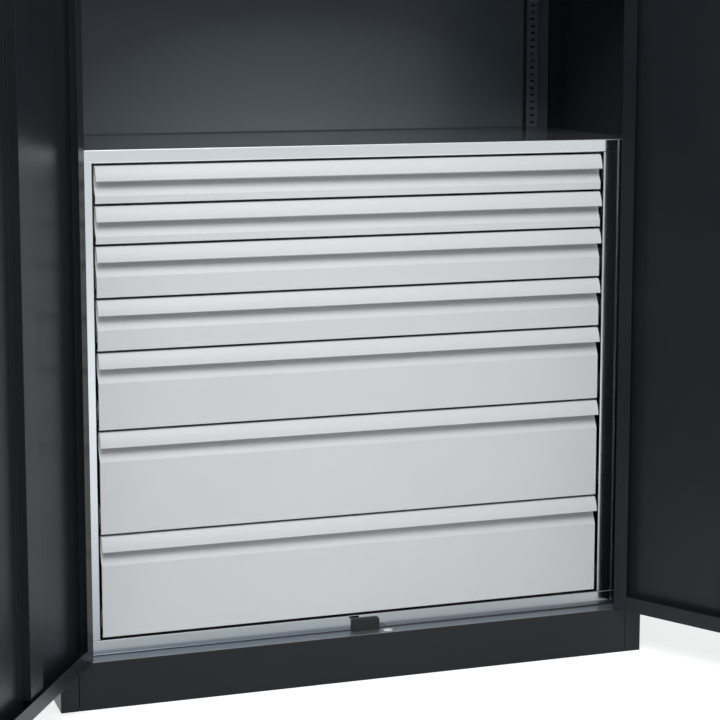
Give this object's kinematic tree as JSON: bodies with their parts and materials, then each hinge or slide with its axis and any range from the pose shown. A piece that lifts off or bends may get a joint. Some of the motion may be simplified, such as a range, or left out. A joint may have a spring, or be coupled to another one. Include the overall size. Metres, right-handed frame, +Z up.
{
  "type": "storage cabinet",
  "caption": "Tall steel cabinet with two hinged doors, a handle with lock rods, adjustable shelves and a block of drawers on telescopic runners standing inside.",
  "frame": {"origin": "on the floor, under the middle of the carcass", "axes": "+Z up, +X to the right seen from the front, the doors and drawers face -Y"},
  "size_m": [1.6857, 1.0019, 1.95],
  "materials": {
    "anthracite_paint": "gloss",
    "light_grey_paint": "satin",
    "bright_steel": "bright",
    "galvanised_steel": "dull",
    "black_plastic": "matte",
    "chromed_zinc": "polished"
  },
  "bodies": {
    "carcass": {"side_panel_left": "anthracite_paint", "side_panel_right": "anthracite_paint", "back_panel": "anthracite_paint", "roof_panel": "anthracite_paint", "header": "anthracite_paint", "plinth_front": "anthracite_paint", "base_frame": "anthracite_paint", "floor_panel": "anthracite_paint", "foot_brackets": "anthracite_paint", "levelling_feet": "galvanised_steel", "uprights_rear": "anthracite_paint", "uprights_front": "anthracite_paint", "shelf_lower": "anthracite_paint", "shelf_upper": "anthracite_paint", "shelf_clips": "galvanised_steel", "block_cover": "bright_steel", "block_bottom_rail": "bright_steel", "block_post_left": "bright_steel", "block_post_right": "bright_steel", "block_posts_rear": "bright_steel", "runners_fixed_left": "galvanised_steel", "runners_fixed_right": "galvanised_steel", "door_stops": "black_plastic", "hinge_pivots": "chromed_zinc"},
    "left_door": {"left_door_pan": "anthracite_paint", "left_door_bushes": "black_plastic", "left_door_stiffener": "anthracite_paint", "left_door_closing_strip": "anthracite_paint"},
    "right_door": {"right_door_pan": "anthracite_paint", "right_door_bushes": "black_plastic", "right_door_stiffener": "anthracite_paint", "lock_case": "galvanised_steel", "rod_guides": "black_plastic", "lock_escutcheon": "anthracite_paint"},
    "handle": {"lock_handle": "black_plastic", "lock_pinion": "galvanised_steel"},
    "rod_lower": {"lock_rod_lower": "chromed_zinc"},
    "rod_upper": {"lock_rod_upper": "chromed_zinc"},
    "drawer_1": {"drawer_1_front": "light_grey_paint", "drawer_1_tray": "galvanised_steel"},
    "sliders_1": {"drawer_1_sliders": "galvanised_steel"},
    "drawer_2": {"drawer_2_front": "light_grey_paint", "drawer_2_tray": "galvanised_steel"},
    "sliders_2": {"drawer_2_sliders": "galvanised_steel"},
    "drawer_3": {"drawer_3_front": "light_grey_paint", "drawer_3_tray": "galvanised_steel"},
    "sliders_3": {"drawer_3_sliders": "galvanised_steel"},
    "drawer_4": {"drawer_4_front": "light_grey_paint", "drawer_4_tray": "galvanised_steel"},
    "sliders_4": {"drawer_4_sliders": "galvanised_steel"},
    "drawer_5": {"drawer_5_front": "light_grey_paint", "drawer_5_tray": "galvanised_steel"},
    "sliders_5": {"drawer_5_sliders": "galvanised_steel"},
    "drawer_6": {"drawer_6_front": "light_grey_paint", "drawer_6_tray": "galvanised_steel"},
    "sliders_6": {"drawer_6_sliders": "galvanised_steel"},
    "drawer_7": {"drawer_7_front": "light_grey_paint", "drawer_7_tray": "galvanised_steel"},
    "sliders_7": {"drawer_7_sliders": "galvanised_steel"}
  },
  "joints": [
    {"name": "left_door_swing", "type": "hinge", "parent": "carcass", "child": "left_door", "pos_m": [-0.5575, -0.2455, 0.092], "axis": [0, 0, -1], "range_deg": [-120, 0]},
    {"name": "right_door_swing", "type": "hinge", "parent": "carcass", "child": "right_door", "pos_m": [0.5575, -0.2455, 0.092], "axis": [0, 0, 1], "range_deg": [-120, 0]},
    {"name": "handle_turn", "type": "hinge", "parent": "right_door", "child": "handle", "pos_m": [0.8211, -0.69306, 1.05], "axis": [0.866, 0.5, 0], "range_deg": [-90, 0]},
    {"name": "rod_lower_throw", "type": "slide", "parent": "right_door", "child": "rod_lower", "axis": [0, 0, -1], "range_m": [0, 0.018]},
    {"name": "rod_upper_throw", "type": "slide", "parent": "right_door", "child": "rod_upper", "axis": [0, 0, 1], "range_m": [0, 0.018]},
    {"name": "drawer_1_pull", "type": "slide", "parent": "carcass", "child": "drawer_1", "axis": [0, -1, 0], "range_m": [0, 0.4]},
    {"name": "sliders_1_run", "type": "slide", "parent": "carcass", "child": "sliders_1", "axis": [0, -1, 0], "range_m": [0, 0.2]},
    {"name": "drawer_2_pull", "type": "slide", "parent": "carcass", "child": "drawer_2", "axis": [0, -1, 0], "range_m": [0, 0.4]},
    {"name": "sliders_2_run", "type": "slide", "parent": "carcass", "child": "sliders_2", "axis": [0, -1, 0], "range_m": [0, 0.2]},
    {"name": "drawer_3_pull", "type": "slide", "parent": "carcass", "child": "drawer_3", "axis": [0, -1, 0], "range_m": [0, 0.4]},
    {"name": "sliders_3_run", "type": "slide", "parent": "carcass", "child": "sliders_3", "axis": [0, -1, 0], "range_m": [0, 0.2]},
    {"name": "drawer_4_pull", "type": "slide", "parent": "carcass", "child": "drawer_4", "axis": [0, -1, 0], "range_m": [0, 0.4]},
    {"name": "sliders_4_run", "type": "slide", "parent": "carcass", "child": "sliders_4", "axis": [0, -1, 0], "range_m": [0, 0.2]},
    {"name": "drawer_5_pull", "type": "slide", "parent": "carcass", "child": "drawer_5", "axis": [0, -1, 0], "range_m": [0, 0.4]},
    {"name": "sliders_5_run", "type": "slide", "parent": "carcass", "child": "sliders_5", "axis": [0, -1, 0], "range_m": [0, 0.2]},
    {"name": "drawer_6_pull", "type": "slide", "parent": "carcass", "child": "drawer_6", "axis": [0, -1, 0], "range_m": [0, 0.4]},
    {"name": "sliders_6_run", "type": "slide", "parent": "carcass", "child": "sliders_6", "axis": [0, -1, 0], "range_m": [0, 0.2]},
    {"name": "drawer_7_pull", "type": "slide", "parent": "carcass", "child": "drawer_7", "axis": [0, -1, 0], "range_m": [0, 0.4]},
    {"name": "sliders_7_run", "type": "slide", "parent": "carcass", "child": "sliders_7", "axis": [0, -1, 0], "range_m": [0, 0.2]}
  ],
  "couplings": [
    {"joint": "rod_lower_throw", "follows": "handle_turn", "m_per_rad": -0.011459},
    {"joint": "rod_upper_throw", "follows": "handle_turn", "m_per_rad": -0.011459},
    {"joint": "sliders_1_run", "follows": "drawer_1_pull", "ratio": 0.5},
    {"joint": "sliders_2_run", "follows": "drawer_2_pull", "ratio": 0.5},
    {"joint": "sliders_3_run", "follows": "drawer_3_pull", "ratio": 0.5},
    {"joint": "sliders_4_run", "follows": "drawer_4_pull", "ratio": 0.5},
    {"joint": "sliders_5_run", "follows": "drawer_5_pull", "ratio": 0.5},
    {"joint": "sliders_6_run", "follows": "drawer_6_pull", "ratio": 0.5},
    {"joint": "sliders_7_run", "follows": "drawer_7_pull", "ratio": 0.5}
  ]
}
